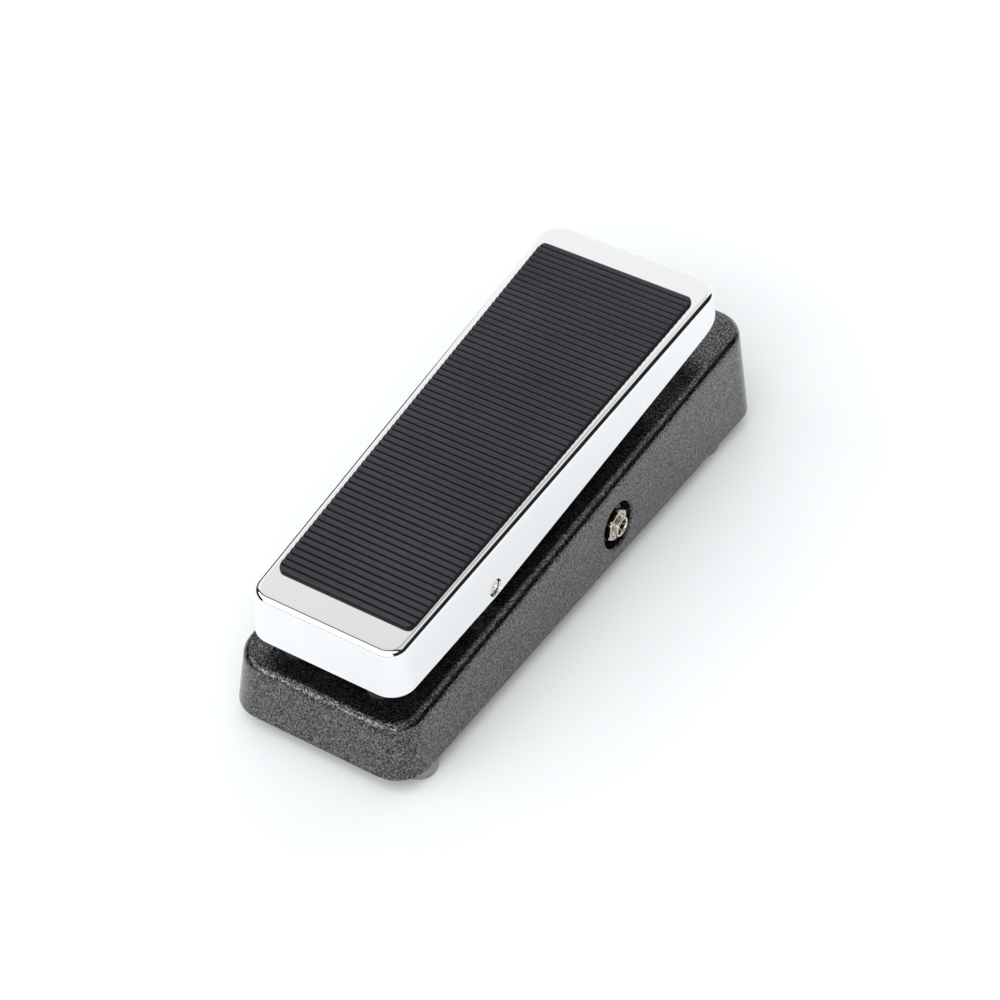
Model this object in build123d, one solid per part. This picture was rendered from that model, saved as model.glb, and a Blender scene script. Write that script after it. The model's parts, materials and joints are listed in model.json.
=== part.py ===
from build123d import *
import os
from math import cos, pi, radians, sin, sqrt, tan

# A rocker treadle effects pedal for guitar: a cast housing on four rubber feet, a chromed
# treadle on a cross axle, a rack and pinion to a potentiometer, and a toe footswitch.
# Millimetres. Origin on the floor under the middle of the housing, +Y to the toe, +Z up.
# The treadle is drawn near the middle of its travel.

os.makedirs("parts", exist_ok=True)

# ---- driving dimensions -------------------------------------------------------------
BASE_LENGTH = 252.0          # housing, heel to toe
BASE_HALF_HEEL = 39.9        # half width of the rim at the heel
BASE_HALF_TOE = 51.0         # half width of the rim at the toe
BASE_CORNER = 13.6           # plan corner radius, the same at every height
BASE_DRAFT = 6.0             # degrees of draft on the cast sides
WALL = 3.0                   # casting wall
FOOT_HEIGHT = 7.5
RIM_Z = FOOT_HEIGHT          # underside of the housing rim
TOP_AT_HEEL = 24.3           # housing height above the rim at the heel
TOP_RISE = 0.0795            # rise of the sloped top per millimetre of length
TOP_FILLET = 4.0

PLATE_THICK = 1.5            # bottom cover sheet
PLATE_LAND = 1.6             # rabbet that the cover sits in
COVER_TOP = RIM_Z + PLATE_THICK

TREADLE_HEEL_Y = -118.3
TREADLE_HEEL_Z = RIM_Z + 56.8
TREADLE_TILT = 3.64          # degrees, toe up
TREADLE_LENGTH = 223.9
TREADLE_HALF_HEEL = 31.2
TREADLE_HALF_TOE = 39.4
TREADLE_CORNER_HEEL = 7.7
TREADLE_CORNER_TOE = 9.5
TREADLE_DRAFT = 5.5
TREADLE_PLATE = 3.0
TREADLE_EDGE = 2.8
SKIRT_HEEL = 21.3            # skirt depth at the heel, at the axle, near the toe and at the toe
SKIRT_PIVOT = 22.8
SKIRT_TOE = 15.6
SKIRT_TIP = 9.6
SKIRT_PIVOT_V = 58.5
SKIRT_TOE_V = 206.0          # where the skirt's lower edge starts to sweep up
SKIRT_TIP_V = 223.0

MAT_START = 13.0
MAT_END = 210.0
MAT_HALF_HEEL = 28.7
MAT_WIDEN = 0.0285
MAT_CORNER = 4.0
MAT_SHEET = 0.8
RIB_COUNT = 65
RIB_HEIGHT = 1.0

PIVOT_Y = -58.5
PIVOT_Z = RIM_Z + 41.9
AXLE_R = 3.175
AXLE_END_X = 34.5
EAR_INNER = 20.0
EAR_OUTER = 28.0
EAR_R = 8.0
BUSH_R = 4.5
BUSH_BORE = AXLE_R + 0.04
BUSH_FLANGE_R = 6.5
BUSH_FLANGE = 1.5

RACK_Y = -3.0
RACK_PIN_Z = 47.1
RACK_PIN_R = 2.0
RACK_PITCH_X = 1.5
RACK_WIDTH = 7.0
MODULE = 0.8
PINION_TEETH = 14
PINION_R = MODULE * PINION_TEETH / 2
PINION_X = RACK_PITCH_X + PINION_R
PINION_Z = 24.5
POT_SHAFT_R = 3.0
POT_CAN_R = 10.5

SWITCH_Y = 88.0
SWITCH_SEAT_Z = 50.0         # top of the flat boss round the switch
SWITCH_PANEL_Z = 43.5        # underside of the same boss
SWITCH_BODY_Z = 41.0
PLUNGER_R = 4.0
PLUNGER_TOP = 60.0
TOE_PAD_Z = 71.0

JACK_Y = 16.7
JACK_Z = RIM_Z + 14.8
JACK_POCKET_R = 9.8
JACK_SEAT_X = 40.6           # flat floor of the side pocket
JACK_INNER_X = 37.6
JACK_BORE_R = 3.25
JACK_THREAD_R = 4.7
JACK_TIP_X = 46.5
JACK_NUT = 3.3               # thickness of the jack's outer nut
JACK_NUT_TURN = 20.0         # how far that nut is turned, in degrees
JACK_RIM_ROUND = 0.8         # rounded outer edge of the pocket

FOOT_HEEL_X = 33.0
FOOT_HEEL_Y = -108.8
FOOT_TOE_X = 39.9
FOOT_TOE_Y = 94.8
FOOT_R = 7.6

BUMPER_X = 18.0
BUMPER_Y = -108.0
BUMPER_SEAT_Z = 32.2
BUMPER_TOP = 37.9
STOP_POST_Z = 44.3

BOARD_HALF_X = 28.0
BOARD_HEEL_Y = -104.0
BOARD_TOE_Y = -38.0
BOARD_LOW = 22.4
BOARD_THICK = 1.6

BATTERY_X0 = 13.0
BATTERY_Y0 = 36.0
BATTERY_W = 26.5
BATTERY_L = 48.5
BATTERY_T = 17.5
BATTERY_Z = COVER_TOP


# ---- helpers ------------------------------------------------------------------------
def box(x0, x1, y0, y1, z0, z1):
    return Pos((x0 + x1) / 2, (y0 + y1) / 2, (z0 + z1) / 2) * Box(x1 - x0, y1 - y0, z1 - z0)


def rod_z(x, y, z0, z1, r):
    return Pos(x, y, (z0 + z1) / 2) * Cylinder(r, z1 - z0)


def rod_x(x0, x1, y, z, r):
    return Pos((x0 + x1) / 2, y, z) * Rot(0, 90, 0) * Cylinder(r, x1 - x0)


def rod_y(y0, y1, x, z, r):
    return Pos(x, (y0 + y1) / 2, z) * Rot(90, 0, 0) * Cylinder(r, y1 - y0)


def hex_z(x, y, z0, z1, flats):
    face = RegularPolygon(radius=flats / sqrt(3), side_count=6)
    return Pos(x, y, z0) * extrude(face, amount=z1 - z0)


def hex_x(x0, x1, y, z, flats, turn=0.0):
    face = RegularPolygon(radius=flats / sqrt(3), side_count=6, rotation=turn)
    return Pos(x0, y, z) * Rot(0, 90, 0) * extrude(face, amount=x1 - x0)


def hex_y(y0, y1, x, z, flats):
    face = RegularPolygon(radius=flats / sqrt(3), side_count=6)
    return Pos(x, y1, z) * Rot(90, 0, 0) * extrude(face, amount=y1 - y0)


def side_prism(points, half_width):
    """Solid with the given (y, z) outline, centred on x = 0."""
    face = Plane.YZ * Polygon(*points, align=None)
    return extrude(face, amount=half_width, both=True)


def one(shape):
    solids = shape.solids()
    return solids[0] if len(solids) == 1 else Compound(children=list(solids))


def group(shapes):
    solids = []
    for shape in shapes:
        solids.extend(shape.solids())
    return Compound(children=solids)


def save(shape, name):
    export_step(one(shape), "parts/" + name + ".step")


def top_z(y):
    """Height of the housing's sloped top."""
    return RIM_Z + TOP_AT_HEEL + TOP_RISE * (y + BASE_LENGTH / 2)


def trapezoid(half_heel, half_toe, length, radius_heel, radius_toe, start=0.0):
    """Plan outline that widens from heel to toe, with rounded corners."""
    low = start
    high = start + length
    face = Polygon((-half_heel, low), (half_heel, low), (half_toe, high), (-half_toe, high), align=None)
    corners = face.vertices().sort_by(Axis.Y)
    face = fillet(corners[:2], radius_heel)
    corners = [v for v in face.vertices() if abs(v.Y - high) < 1e-6]
    return fillet(corners, radius_toe)


# ---- housing ------------------------------------------------------------------------
half_length = BASE_LENGTH / 2
rim = trapezoid(BASE_HALF_HEEL, BASE_HALF_TOE, BASE_LENGTH, BASE_CORNER, BASE_CORNER, -half_length)


def rim_outline(inset):
    """Rim outline drawn in by inset, with the same corner radius."""
    widen = (BASE_HALF_TOE - BASE_HALF_HEEL) / BASE_LENGTH
    return trapezoid(
        BASE_HALF_HEEL - inset * (1 - widen),
        BASE_HALF_TOE - inset * (1 + widen),
        BASE_LENGTH - 2 * inset,
        BASE_CORNER,
        BASE_CORNER,
        inset - half_length,
    )


def drafted(inset, z0, top_drop):
    """Housing outline drawn in by inset, from z0 up to the sloped top less top_drop."""
    level_inset = inset + (z0 - RIM_Z) * tan(radians(BASE_DRAFT))
    rise = 55.0
    lower = Pos(0, 0, z0) * rim_outline(level_inset)
    upper = Pos(0, 0, z0 + rise) * rim_outline(level_inset + rise * tan(radians(BASE_DRAFT)))
    body = loft([lower, upper], ruled=True)
    reach = half_length + 20
    under = side_prism(
        [
            (-reach, z0 - 1),
            (reach, z0 - 1),
            (reach, top_z(reach) - top_drop),
            (-reach, top_z(-reach) - top_drop),
        ],
        80,
    )
    return body & under


envelope = drafted(0.0, RIM_Z, 0.0)
sloped_face = envelope.faces().sort_by(Axis.Z)[-1]
envelope = fillet(sloped_face.edges(), TOP_FILLET)
inner_space = drafted(WALL, COVER_TOP, WALL)
housing = envelope - inner_space
rabbet = Pos(0, 0, RIM_Z - 0.5) * extrude(offset(rim, -PLATE_LAND), amount=PLATE_THICK + 0.5)
housing -= rabbet

foot_spots = [
    ("foot_heel_left", -FOOT_HEEL_X, FOOT_HEEL_Y),
    ("foot_heel_right", FOOT_HEEL_X, FOOT_HEEL_Y),
    ("foot_toe_left", -FOOT_TOE_X, FOOT_TOE_Y),
    ("foot_toe_right", FOOT_TOE_X, FOOT_TOE_Y),
]
board_spots = [(x, y) for x in (-24.0, 24.0) for y in (BOARD_HEEL_Y + 4, BOARD_TOE_Y - 4)]

# screw columns in the corners, board columns and the potentiometer bracket pad
for foot_name, x, y in foot_spots:
    housing += rod_z(x, y, COVER_TOP, top_z(y), 5.0) & envelope
    housing -= rod_z(x, y, COVER_TOP - 1, 20.0, 2.0)
for x, y in board_spots:
    housing += rod_z(x, y, BOARD_LOW + BOARD_THICK, top_z(y) - 1, 3.6)
    housing -= rod_z(x, y, BOARD_LOW, BOARD_LOW + BOARD_THICK + 5.0, 1.5)
BRACKET_Z = 36.5
bracket_screw_spots = [(11.0, -10.2), (19.0, -10.2)]
housing += box(6, 24, -14.5, -6.5, BRACKET_Z, 39.5)
for x, y in bracket_screw_spots:
    housing -= rod_z(x, y, BRACKET_Z - 1, BRACKET_Z + 2.6, 1.5)

# round jack pockets in both sides, with a flat wall behind each one
for side in (-1, 1):
    inner_x = side * JACK_INNER_X
    seat_x = side * JACK_SEAT_X
    far_x = side * 60.0
    boss = rod_x(min(inner_x, far_x), max(inner_x, far_x), JACK_Y, JACK_Z, JACK_POCKET_R + 2.6)
    housing += boss & envelope & box(-60, 60, -60, 60, COVER_TOP, 60)
    housing -= rod_x(min(seat_x, far_x), max(seat_x, far_x), JACK_Y, JACK_Z, JACK_POCKET_R)
    housing -= rod_x(min(inner_x, seat_x) - 1, max(inner_x, seat_x) + 1, JACK_Y, JACK_Z, JACK_THREAD_R)
    near_pocket = [e for e in housing.edges() if abs(e.center().Y - JACK_Y) < 3 and e.length > 40]
    pocket_rim = [e for e in near_pocket if abs(e.center().X - side * 44.5) < 2]
    housing = fillet(pocket_rim, JACK_RIM_ROUND)

# flat boss for the footswitch
housing += rod_z(0, SWITCH_Y, SWITCH_PANEL_Z, SWITCH_SEAT_Z, 13.0)
housing -= rod_z(0, SWITCH_Y, SWITCH_PANEL_Z - 1, SWITCH_SEAT_Z + 1, 6.05)

# two cast ears that carry the axle bushes
for side in (-1, 1):
    x0 = min(side * EAR_INNER, side * EAR_OUTER)
    x1 = max(side * EAR_INNER, side * EAR_OUTER)
    foot = [
        (PIVOT_Y - 12, top_z(PIVOT_Y - 12) - 1),
        (PIVOT_Y + 12, top_z(PIVOT_Y + 12) - 1),
        (PIVOT_Y + EAR_R, PIVOT_Z),
        (PIVOT_Y - EAR_R, PIVOT_Z),
    ]
    ear = Pos((x0 + x1) / 2, 0, 0) * side_prism(foot, (x1 - x0) / 2)
    ear += rod_x(x0, x1, PIVOT_Y, PIVOT_Z, EAR_R)
    housing += ear
    housing -= rod_x(x0 - 1, x1 + 1, PIVOT_Y, PIVOT_Z, BUSH_R)

# seat of the tension brake between the ears
BRAKE_SEAT_Z = 38.6
housing += box(-8, 8, PIVOT_Y - 8, PIVOT_Y + 8, 34, BRAKE_SEAT_Z)
for x in (-4, 4):
    housing -= rod_z(x, PIVOT_Y, BRAKE_SEAT_Z - 4, BRAKE_SEAT_Z + 1, 2.0)

# slot for the rack, and sockets of the two heel bumpers
SLOT_X0, SLOT_X1 = -10.5, 5.5
SLOT_Y0, SLOT_Y1 = RACK_Y - 9.5, RACK_Y + 9.5
slot_cut = box(SLOT_X0, SLOT_X1, SLOT_Y0, SLOT_Y1, 34, 44)
housing -= slot_cut
for x in (-BUMPER_X, BUMPER_X):
    housing += rod_z(x, BUMPER_Y, BUMPER_SEAT_Z - 4.0, BUMPER_SEAT_Z, 7.0) & envelope
    housing -= rod_z(x, BUMPER_Y, BUMPER_SEAT_Z, BUMPER_SEAT_Z + 3, 5.6)
    housing -= rod_z(x, BUMPER_Y, BUMPER_SEAT_Z - 6, BUMPER_SEAT_Z + 1, 2.2)
save(housing, "base_housing")

# ---- cover, feet and their screws ---------------------------------------------------
cover = Pos(0, 0, RIM_Z) * extrude(offset(rim, -(PLATE_LAND + 0.25)), amount=PLATE_THICK)
for foot_name, x, y in foot_spots:
    cover -= rod_z(x, y, RIM_Z - 1, COVER_TOP + 1, 2.2)
save(cover, "bottom_plate")

foot_screws = []
for foot_name, x, y in foot_spots:
    foot = rod_z(x, y, 0, FOOT_HEIGHT, FOOT_R)
    foot = fillet(foot.edges().sort_by(Axis.Z)[0], 1.2)
    foot -= rod_z(x, y, -1, 3.5, 4.6)
    foot -= rod_z(x, y, 3, FOOT_HEIGHT + 1, 2.2)
    save(foot, foot_name)
    screw = rod_z(x, y, 3.5, 19.0, 2.0) + rod_z(x, y, 1.0, 3.5, 3.7)
    screw -= box(x - 2.6, x + 2.6, y - 0.45, y + 0.45, 0.5, 1.9)
    screw -= box(x - 0.45, x + 0.45, y - 2.6, y + 2.6, 0.5, 1.9)
    foot_screws.append(screw)
save(group(foot_screws), "foot_screws")

# ---- heel bumpers -------------------------------------------------------------------
bumpers = []
for x in (-BUMPER_X, BUMPER_X):
    bumper = rod_z(x, BUMPER_Y, BUMPER_SEAT_Z, BUMPER_TOP, 5.5)
    bumper = fillet(bumper.edges().sort_by(Axis.Z)[-1], 2.0)
    bumper += rod_z(x, BUMPER_Y, BUMPER_SEAT_Z - 5.0, BUMPER_SEAT_Z, 2.2)
    bumpers.append(bumper)
save(group(bumpers), "heel_bumpers")

# ---- axle bushes and tension brake --------------------------------------------------
for side, bush_name in ((-1, "pivot_bush_left"), (1, "pivot_bush_right")):
    inner = side * EAR_INNER
    outer = side * EAR_OUTER
    flange_end = side * (EAR_OUTER + BUSH_FLANGE)
    bush = rod_x(min(inner, outer), max(inner, outer), PIVOT_Y, PIVOT_Z, BUSH_R)
    bush += rod_x(min(outer, flange_end), max(outer, flange_end), PIVOT_Y, PIVOT_Z, BUSH_FLANGE_R)
    bush -= rod_x(min(inner, flange_end) - 1, max(inner, flange_end) + 1, PIVOT_Y, PIVOT_Z, BUSH_BORE)
    save(bush, bush_name)

BRAKE_TOP = 59.0
CLAMP_Z = 56.2
brake = box(-6, 6, PIVOT_Y - 7, PIVOT_Y + 7, BRAKE_SEAT_Z, BRAKE_TOP)
brake = fillet(brake.edges().filter_by(Axis.X).sort_by(Axis.Z)[-2:], 2.0)
for x in (-4, 4):
    brake += rod_z(x, PIVOT_Y, BRAKE_SEAT_Z - 3.8, BRAKE_SEAT_Z, 2.0)
brake -= rod_x(-7, 7, PIVOT_Y, PIVOT_Z, AXLE_R + 0.03)
brake -= box(-7, 7, PIVOT_Y - 0.6, PIVOT_Y + 0.6, PIVOT_Z, BRAKE_TOP + 1)
brake -= rod_y(PIVOT_Y - 8, PIVOT_Y + 8, 0, CLAMP_Z, 1.5)
save(brake, "brake_block")
clamp_screw = rod_y(PIVOT_Y - 10, PIVOT_Y + 7, 0, CLAMP_Z, 1.5)
clamp_screw += rod_y(PIVOT_Y + 7, PIVOT_Y + 9, 0, CLAMP_Z, 2.7)
clamp_screw -= box(-3, 3, PIVOT_Y + 8.2, PIVOT_Y + 10, CLAMP_Z - 0.4, CLAMP_Z + 0.4)
save(clamp_screw, "brake_clamp_screw")
clamp_nut = hex_y(PIVOT_Y - 9.4, PIVOT_Y - 7, 0, CLAMP_Z, 5.5)
clamp_nut -= rod_y(PIVOT_Y - 11, PIVOT_Y - 6, 0, CLAMP_Z, 1.5)
save(clamp_nut, "brake_clamp_nut")

# ---- footswitch ---------------------------------------------------------------------
case = box(-9, 9, SWITCH_Y - 10, SWITCH_Y + 10, 26.0, SWITCH_BODY_Z)
case = fillet(case.edges().filter_by(Axis.Z), 1.0)
case -= rod_z(0, SWITCH_Y, 36.5, SWITCH_BODY_Z + 1, 4.3)
save(case, "footswitch_case")
lugs = []
for column in (-1, 0, 1):
    for row in (-1, 1):
        lug_x = column * 5.0
        lug_y = SWITCH_Y + row * 4.5
        lug = box(lug_x - 1.1, lug_x + 1.1, lug_y - 0.4, lug_y + 0.4, 21.0, 26.0)
        lug -= rod_y(lug_y - 1, lug_y + 1, lug_x, 22.6, 0.6)
        lugs.append(lug)
save(group(lugs), "footswitch_lugs")
BUSHING_TOP = 54.5
bushing = rod_z(0, SWITCH_Y, SWITCH_BODY_Z, BUSHING_TOP, 6.0)
bushing = chamfer(bushing.edges().sort_by(Axis.Z)[-1], 0.5)
bushing -= rod_z(0, SWITCH_Y, SWITCH_BODY_Z - 1, BUSHING_TOP + 1, PLUNGER_R + 0.06)
save(bushing, "footswitch_bushing")
lower_nut = hex_z(0, SWITCH_Y, SWITCH_BODY_Z, SWITCH_PANEL_Z, 15.5)
upper_nut = hex_z(0, SWITCH_Y, SWITCH_SEAT_Z + 1.0, SWITCH_SEAT_Z + 3.5, 15.5)
bushing_hole = rod_z(0, SWITCH_Y, SWITCH_BODY_Z - 1, BUSHING_TOP + 1, 6.0)
save(group([lower_nut - bushing_hole, upper_nut - bushing_hole]), "footswitch_nuts")
washer = rod_z(0, SWITCH_Y, SWITCH_SEAT_Z, SWITCH_SEAT_Z + 1.0, 9.6) - bushing_hole
save(washer, "footswitch_washer")
plunger = rod_z(0, SWITCH_Y, SWITCH_BODY_Z, PLUNGER_TOP, PLUNGER_R)
plunger = fillet(plunger.edges().sort_by(Axis.Z)[-1], 1.2)
save(plunger, "footswitch_plunger")

# ---- potentiometer, bracket, pinion and rack ----------------------------------------
PLATE_FRONT = RACK_Y - 11.0
PLATE_BACK = PLATE_FRONT - 1.5
bracket = box(-8, 24, PLATE_BACK, PLATE_FRONT, 14.5, BRACKET_Z)
bracket += box(6, 24, PLATE_FRONT, -6.5, BRACKET_Z - 1.5, BRACKET_Z)
bracket += box(-5.2, -3.8, PLATE_FRONT, RACK_Y + 3.5, 20.0, 32.0)
bracket -= rod_y(PLATE_BACK - 1, PLATE_FRONT + 1, PINION_X, PINION_Z, 4.6)
for x, y in bracket_screw_spots:
    bracket -= rod_z(x, y, 30, BRACKET_Z + 1, 1.6)
save(bracket, "pot_bracket")
bracket_screws = []
for x, y in bracket_screw_spots:
    screw = rod_z(x, y, BRACKET_Z - 1.5, BRACKET_Z + 2.4, 1.5)
    screw += rod_z(x, y, BRACKET_Z - 3.3, BRACKET_Z - 1.5, 2.5)
    bracket_screws.append(screw)
save(group(bracket_screws), "bracket_screws")

WAFER_BACK = PLATE_BACK - 1.5
CAN_BACK = WAFER_BACK - 9.0
wafer = rod_y(WAFER_BACK, PLATE_BACK, PINION_X, PINION_Z, POT_CAN_R - 0.5)
wafer += box(PINION_X - 7.5, PINION_X + 7.5, WAFER_BACK, PLATE_BACK, 12.4, PINION_Z)
wafer -= rod_y(WAFER_BACK - 1, PLATE_BACK + 1, PINION_X, PINION_Z, POT_SHAFT_R + 0.3)
for step in (-1, 0, 1):
    hole_x = PINION_X + step * 5.0
    wafer -= rod_y(WAFER_BACK - 1, PLATE_BACK + 1, hole_x, 13.8, 0.7)
save(wafer, "pot_wafer")
can = rod_y(CAN_BACK, WAFER_BACK, PINION_X, PINION_Z, POT_CAN_R)
can = fillet(can.edges().sort_by(Axis.Y)[0], 1.0)
can -= rod_y(CAN_BACK + 0.8, WAFER_BACK + 1, PINION_X, PINION_Z, POT_CAN_R - 0.9)
save(can, "pot_can")
THREAD_END = PLATE_FRONT + 5.5
pot_bushing = rod_y(PLATE_BACK, THREAD_END, PINION_X, PINION_Z, 4.5)
pot_bushing -= rod_y(PLATE_BACK - 1, THREAD_END + 1, PINION_X, PINION_Z, POT_SHAFT_R + 0.05)
save(pot_bushing, "pot_bushing")
thread_hole = rod_y(PLATE_FRONT - 1, THREAD_END + 1, PINION_X, PINION_Z, 4.5)
pot_washer = rod_y(PLATE_FRONT, PLATE_FRONT + 0.5, PINION_X, PINION_Z, 6.3) - thread_hole
save(pot_washer, "pot_washer")
pot_nut = hex_y(PLATE_FRONT + 0.5, PLATE_FRONT + 2.7, PINION_X, PINION_Z, 11.0) - thread_hole
save(pot_nut, "pot_nut")
shaft = rod_y(CAN_BACK + 3.0, RACK_Y + 4.5, PINION_X, PINION_Z, POT_SHAFT_R)
shaft += rod_y(CAN_BACK + 3.0, CAN_BACK + 4.2, PINION_X, PINION_Z, 8.5)
save(shaft, "pot_shaft")


def tooth_face(tip, root, thick_tip, thick_root, reach):
    """Trapezoid tooth pointing along +X, from root radius to tip."""
    return Polygon(
        (reach, -thick_root / 2),
        (root, -thick_root / 2),
        (tip, -thick_tip / 2),
        (tip, thick_tip / 2),
        (root, thick_root / 2),
        (reach, thick_root / 2),
        align=None,
    )


# pinion: the blank's teeth start with one tooth towards the rack at rest
PINION_ROOT = PINION_R - 1.0
PINION_TIP = PINION_R + 0.75
pinion_face = Circle(PINION_ROOT)
for index in range(PINION_TEETH):
    tooth = tooth_face(PINION_TIP, PINION_ROOT, 0.55, 1.5, PINION_ROOT - 1.0)
    pinion_face += Rot(0, 0, 180 + index * 360 / PINION_TEETH) * tooth
pinion_face -= Circle(POT_SHAFT_R)
PINION_Y0 = RACK_Y - 3.5
pinion = Pos(PINION_X, RACK_Y + 3.5, PINION_Z) * Rot(90, 0, 0) * extrude(pinion_face, amount=7.0)
pinion += rod_y(PINION_Y0 - 1.6, PINION_Y0, PINION_X, PINION_Z, 4.4)
pinion -= rod_y(PINION_Y0 - 3, RACK_Y + 5, PINION_X, PINION_Z, POT_SHAFT_R)
save(pinion, "pinion_gear")

# rack: an eye on the treadle's pin, a bar, and teeth towards the pinion
RACK_BACK_X = -3.2
RACK_ROOT_X = RACK_PITCH_X - 1.0
RACK_TIP_X = RACK_PITCH_X + 0.75
RACK_LOW = 14.2
rack_y0 = RACK_Y - RACK_WIDTH / 2
rack_y1 = RACK_Y + RACK_WIDTH / 2
rack = box(RACK_BACK_X, RACK_ROOT_X, rack_y0, rack_y1, RACK_LOW, RACK_PIN_Z)
rack += rod_x(RACK_BACK_X, RACK_ROOT_X, RACK_Y, RACK_PIN_Z, 4.5)
pitch = pi * MODULE
for index in range(-4, 5):
    tooth_z = PINION_Z + (index + 0.5) * pitch
    tooth = Polygon(
        (RACK_ROOT_X - 0.2, tooth_z - 0.8),
        (RACK_ROOT_X, tooth_z - 0.8),
        (RACK_TIP_X, tooth_z - 0.25),
        (RACK_TIP_X, tooth_z + 0.25),
        (RACK_ROOT_X, tooth_z + 0.8),
        (RACK_ROOT_X - 0.2, tooth_z + 0.8),
        align=None,
    )
    rack += Pos(0, rack_y1, 0) * extrude(Plane.XZ * tooth, amount=RACK_WIDTH)
rack -= rod_x(RACK_BACK_X - 1, RACK_ROOT_X + 1, RACK_Y, RACK_PIN_Z, RACK_PIN_R + 0.05)
save(rack, "rack_bar")

# ---- jacks, one on each side --------------------------------------------------------
def side_box(side, x0, x1, y0, y1, z0, z1):
    """Box given for the right side, mirrored to the left when side is -1."""
    low = min(side * x0, side * x1)
    high = max(side * x0, side * x1)
    return box(low, high, y0, y1, z0, z1)


def side_rod(side, x0, x1, y, z, r):
    return rod_x(min(side * x0, side * x1), max(side * x0, side * x1), y, z, r)


for side, jack in ((1, "input_jack"), (-1, "output_jack")):
    tube = side_rod(side, JACK_INNER_X - 1.2, JACK_TIP_X, JACK_Y, JACK_Z, JACK_THREAD_R)
    tube -= side_rod(side, JACK_INNER_X - 3, JACK_TIP_X + 1, JACK_Y, JACK_Z, JACK_BORE_R)
    save(tube, jack + "_bushing")
    hole = side_rod(side, JACK_INNER_X - 3, JACK_TIP_X + 1, JACK_Y, JACK_Z, JACK_THREAD_R)
    ring = side_rod(side, JACK_SEAT_X, JACK_SEAT_X + 0.7, JACK_Y, JACK_Z, 8.0) - hole
    save(ring, jack + "_washer")
    nut_x0 = side * (JACK_SEAT_X + 0.7)
    nut_x1 = side * (JACK_SEAT_X + 0.7 + JACK_NUT)
    nut = hex_x(min(nut_x0, nut_x1), max(nut_x0, nut_x1), JACK_Y, JACK_Z, 12.7, JACK_NUT_TURN)
    save(nut - hole, jack + "_nut")
    frame = side_rod(side, JACK_INNER_X - 1.2, JACK_INNER_X, JACK_Y, JACK_Z, 8.8)
    frame += side_box(side, 16.0, JACK_INNER_X, JACK_Y - 4, JACK_Y + 4, JACK_Z - 8.7, JACK_Z - 7.5)
    frame -= hole
    save(frame, jack + "_frame")
    stack = side_box(side, 24.0, 34.0, JACK_Y - 4, JACK_Y + 4, JACK_Z - 7.5, JACK_Z - 4.7)
    save(stack, jack + "_insulator")
    spring = side_box(side, 15.0, 33.5, JACK_Y - 1.5, JACK_Y + 1.5, JACK_Z - 4.7, JACK_Z - 4.2)
    spring += side_box(side, 14.5, 15.0, JACK_Y - 1.5, JACK_Y + 1.5, JACK_Z - 4.7, JACK_Z + 2.4)
    sleeve = side_box(side, 24.0, 34.0, JACK_Y + 5.0, JACK_Y + 5.4, JACK_Z - 8.7, JACK_Z - 2.7)
    sleeve += side_box(side, 26.0, 29.0, JACK_Y + 4.0, JACK_Y + 5.2, JACK_Z - 7.2, JACK_Z - 6.2)
    save(group([spring, sleeve]), jack + "_contacts")

# ---- circuit board and its components -----------------------------------------------
board = box(-BOARD_HALF_X, BOARD_HALF_X, BOARD_HEEL_Y, BOARD_TOE_Y, BOARD_LOW, BOARD_LOW + BOARD_THICK)
for x, y in board_spots:
    board -= rod_z(x, y, BOARD_LOW - 1, BOARD_LOW + 3, 1.6)
save(board, "circuit_board")
board_screws = []
for x, y in board_spots:
    screw = rod_z(x, y, BOARD_LOW, BOARD_LOW + 6.0, 1.5) + rod_z(x, y, BOARD_LOW - 2, BOARD_LOW, 2.7)
    screw -= box(x - 2, x + 2, y - 0.35, y + 0.35, BOARD_LOW - 2.5, BOARD_LOW - 1.2)
    board_screws.append(screw)
save(group(board_screws), "board_screws")

resistors = []
for row in range(5):
    for column in (-1, 1):
        x = column * 8.5
        y = BOARD_HEEL_Y + 12 + row * 5.0
        z = BOARD_LOW - 1.5
        part = rod_x(x - 3.1, x + 3.1, y, z, 1.15) + rod_x(x - 4.6, x + 4.6, y, z, 0.22)
        part += box(x - 5.0, x - 4.5, y - 0.25, y + 0.25, z - 0.3, BOARD_LOW)
        part += box(x + 4.5, x + 5.0, y - 0.25, y + 0.25, z - 0.3, BOARD_LOW)
        resistors.append(part)
save(group(resistors), "resistors")
film_caps = []
for row in range(3):
    y = -58.0 + row * 6.5
    film_caps.append(fillet(box(-20.9, -11, y - 2, y + 2, BOARD_LOW - 8, BOARD_LOW).edges(), 0.5))
save(group(film_caps), "film_capacitors")
can_caps = []
for y in (-46.0, -54.5):
    barrel = rod_z(-3, y, BOARD_LOW - 11, BOARD_LOW, 3.1)
    can_caps.append(fillet(barrel.edges().sort_by(Axis.Z)[0], 0.6))
save(group(can_caps), "electrolytic_capacitors")
transistors = []
for y in (-66.0, -73.5):
    head = rod_z(20, y, BOARD_LOW - 8, BOARD_LOW - 3.5, 2.4) & box(17, 23, y - 1.1, y + 3, 10, 30)
    for step in (-1, 0, 1):
        head += rod_z(20 + step * 1.27, y + 0.4, BOARD_LOW - 3.5, BOARD_LOW, 0.25)
    transistors.append(head)
save(group(transistors), "transistors")
coil = rod_z(13, -50, BOARD_LOW - 9.5, BOARD_LOW, 7.2)
coil = fillet(coil.edges().sort_by(Axis.Z)[0], 0.8)
save(coil, "inductor")

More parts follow.
